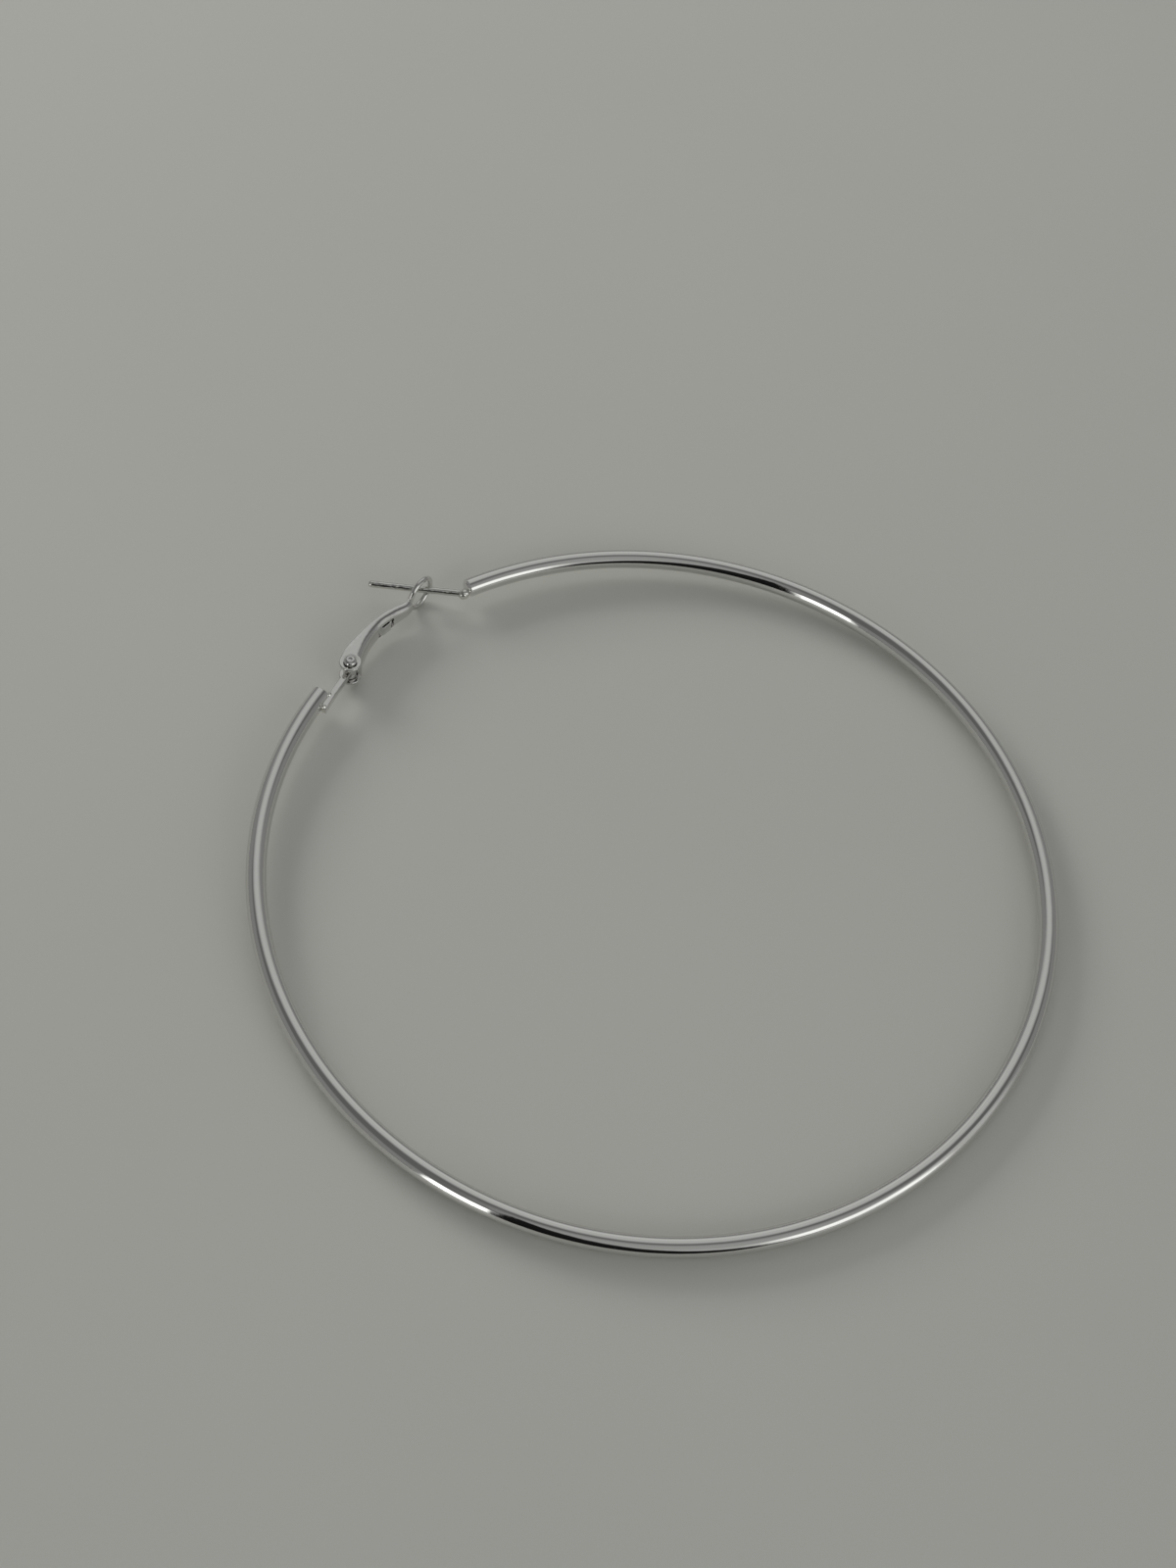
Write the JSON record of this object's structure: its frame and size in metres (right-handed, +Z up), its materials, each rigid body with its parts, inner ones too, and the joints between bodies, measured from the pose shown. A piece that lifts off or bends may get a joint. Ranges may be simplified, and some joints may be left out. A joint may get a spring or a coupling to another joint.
{
  "type": "hoop earring",
  "caption": "Large round hoop earring in polished silver-coloured wire, open at one side, closed by a hinged clip whose loop catches a slanted ear post.",
  "frame": {"origin": "under the middle of the hoop, on the surface it lies on", "axes": "+Z up from that surface, nearly along the hoop's own axis; the opening with its clip faces -X +Y, hinge end nearer -X, post end nearer +Y"},
  "size_m": [0.08, 0.08, 0.0041],
  "materials": {
    "polished_wire": "mirror polished",
    "polished_rivet": "polished",
    "pressed_sheet": "tumble polished",
    "spring_strip": "rolled, bright"
  },
  "bodies": {
    "ring": {"hoop": "polished_wire", "hinge_rivet": "polished_rivet"},
    "clip": {"clip_lever": "pressed_sheet", "spring_leaf": "spring_strip"}
  },
  "joints": [
    {"name": "clip_hinge", "type": "hinge", "parent": "ring", "child": "clip", "pos_m": [-0.03115, 0.02259, 0.002], "axis": [0.0078, -0.0106, 0.9999], "range_deg": [0, 75]}
  ]
}
